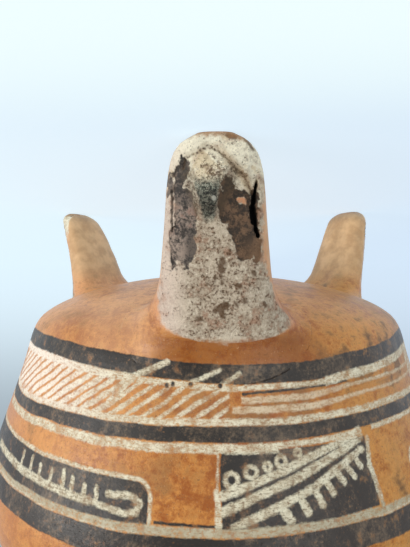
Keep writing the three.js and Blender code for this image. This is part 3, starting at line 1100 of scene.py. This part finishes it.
    roughness = (ground["Roughness"] + slip_cover * 0.32 + flaked * 0.1).least(0.9)
    relief = ground["Relief"] + speckle.swing(0.5) * slip_cover + fine.swing(0.14) * front
    relief = relief + blotches.swing(0.35) * slip_cover - specks * 0.12
    relief = relief - stains * 0.1 - flaked * 0.06
    finish_material(tree, color, roughness, relief)
    return material


def burnished_underside():
    """The burnished ground alone, as on the pot's underside."""
    material, tree, _, ground = pottery("burnished_underside")
    finish_material(tree, ground["Color"], ground["Roughness"], ground["Relief"])
    return material


def bare_inside():
    """Unslipped clay inside, wiped by hand round the turn, darker towards the bottom."""
    material, tree, where, _ = pottery("bare_inside")
    place = where["Millimetres"]
    wiped = tree.noise(tree.vector_math("MULTIPLY", place, (0.2, 0.2, 2.0)), 0.5, 3, 0.6)
    grit = tree.noise(place, 1.2, 4, 0.7)
    color = tree.coats(
        tree.mix(wiped.step(0.3, 0.7), (150, 106, 70), (186, 140, 98)),
        (grit.step(0.55, 0.7) * 0.6, (104, 76, 54)),
        (where["Height"].step(120, 45) * 0.5, (96, 72, 54)),
    )
    relief = wiped.swing(0.35) + grit.swing(0.12)
    finish_material(tree, color, grit * 0.2 + 0.62, relief, specular=0.3)
    return material


vase, pot_faces, inside_points = build_vase()
for material in (painted_wall(), foot_slip(), burnished_underside(), bare_inside()):
    vase.data.materials.append(material)

PAINTED_WALL, FOOT_SLIP, UNDERSIDE, INSIDE = range(4)
PAINTED_ABOVE = 50.0
face_count = len(vase.data.polygons)
centres = np.empty(face_count * 3)
vase.data.polygons.foreach_get("center", centres)
heights = centres.reshape(-1, 3)[:, 2] / MM
first_points = np.array([polygon.vertices[0] for polygon in vase.data.polygons])
choice = np.where(np.arange(face_count) < pot_faces, UNDERSIDE, FOOT_SLIP)
choice = np.where(heights > PAINTED_ABOVE, PAINTED_WALL, choice)
choice = np.where(inside_points[first_points] > 0.5, INSIDE, choice)
vase.data.polygons.foreach_set("material_index", choice.astype(np.int32))
vase.data.update()

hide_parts("vase")
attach(vase, "root")

# Camera: the photograph's view, upside down and close to the near toe
UNIT = 84.0
CAMERA_REACH = 2.1 * UNIT
CAMERA_HEIGHT = 0.376 * UNIT
CAMERA_TURN = math.radians(1.48)
FOCAL_PIXELS = 411.0
FRAME_HEIGHT_PIXELS = 547.0

view_way = Vector((math.sin(CAMERA_TURN), math.cos(CAMERA_TURN), 0))
view_up = Vector((0, 0, -1))
view_right = view_way.cross(view_up)
camera_data = bpy.data.cameras.new("camera")
camera_data.sensor_width = 36.0
camera_data.lens = FOCAL_PIXELS / FRAME_HEIGHT_PIXELS * camera_data.sensor_width
camera_data.clip_start = 0.01
camera_data.clip_end = 50
camera = new_object("camera", camera_data)
rotation = Matrix((view_right, view_up, -view_way)).transposed()
camera_place = Matrix.Translation((0, -CAMERA_REACH * MM, CAMERA_HEIGHT * MM))
camera.matrix_world = camera_place @ rotation.to_4x4()
bpy.context.scene.camera = camera


def build_sweep():
    """A pale floor that turns up into a backdrop behind the pot, in metres; it glows, and lights the
    pot from below.
    """
    half_width, front, bend_start, bend, top = 9.0, -12.0, 1.2, 1.6, 4.0
    line = [(front, 0.0), (bend_start, 0.0)]
    for turn in np.linspace(0, math.pi / 2, 24)[1:]:
        line.append((bend_start + bend * math.sin(turn), bend * (1 - math.cos(turn))))
    line.append((bend_start + bend, top))
    points = [(side * half_width, y, z) for y, z in line for side in (-1, 1)]
    faces = [(2 * k, 2 * k + 1, 2 * k + 3, 2 * k + 2) for k in range(len(line) - 1)]
    return new_object("glowing_sweep", smooth_mesh("glowing_sweep", points, faces))


sweep = build_sweep()
pale, tree, place = new_material("glowing_sweep")
shader = tree.nodes["Principled BSDF"]
x, y, z = tree.split(place)
# The sweep glows as a light under the pot: darker towards -x, with a painted pool of light round the
# pot, painted shade rising up the backdrop, and lighter far sides
floor_color = tree.mix(x.step(0.12, -0.18), (220, 239, 249), (205, 223, 240))
painted_light_pool = hypotenuse(x, y + 0.13).step(0.5, 0.03) * y.step(-0.085, -0.13)
beside = (abs(x) - 1.9).most(z - 2.1)
glow = tree.coats(
    floor_color,
    (painted_light_pool, (233, 249, 249)),
    (z.step(-0.05, 1.25), (138, 150, 157)),
    (beside.step(0.0, 1.6) * z.step(0.1, 0.5), (198, 214, 227)),
)
tree.fill(shader, {"Emission Color": glow, "Emission Strength": 0.92, "Roughness": 0.9})
tree.fill(shader, {"Base Color": (0.3, 0.31, 0.32, 1), "Specular IOR Level": 0.1})
sweep.data.materials.append(pale)


def soft_light(name, place, aim, size, watts, color):
    """An oblong lamp at a place, facing an aim, in metres and watts."""
    light = bpy.data.lights.new(name, "AREA")
    light.shape = "RECTANGLE"
    light.size, light.size_y = size
    light.energy = watts
    light.color = color
    lamp = new_object(name, light)
    facing = (Vector(aim) - Vector(place)).to_track_quat("-Z", "Y").to_matrix().to_4x4()
    lamp.matrix_world = Matrix.Translation(place) @ facing


soft_light("window_side", (1.15, -0.7, 0.16), (0, 0, 0.06), (0.8, 0.3), 10.2, (1.0, 0.98, 0.95))
soft_light("front_fill", (-0.7, -1.3, 0.18), (0, 0, 0.07), (0.7, 0.34), 6.1, (1.0, 0.97, 0.93))

world = bpy.data.worlds.new("room")
world.use_nodes = True
tree = Tree(world.node_tree)
# The room lights the pot evenly, and the camera sees a pale far wall beyond the sweep
room_light = tree.nodes["Background"]
tree.fill(room_light, {"Color": (0.75, 0.86, 1.0, 1), "Strength": 0.31})
far_wall = tree.nodes.new("ShaderNodeBackground")
far_wall.inputs["Color"].default_value = paint(203, 218, 230)
path = tree.nodes.new("ShaderNodeLightPath")
seen = tree.nodes.new("ShaderNodeMixShader")
sources = (path.outputs["Is Camera Ray"], room_light.outputs[0], far_wall.outputs[0])
for source, socket in zip(sources, seen.inputs):
    tree.links.new(source, socket)
tree.links.new(seen.outputs[0], tree.nodes["World Output"].inputs["Surface"])
bpy.context.scene.world = world
bpy.context.scene.view_settings.view_transform = "Standard"
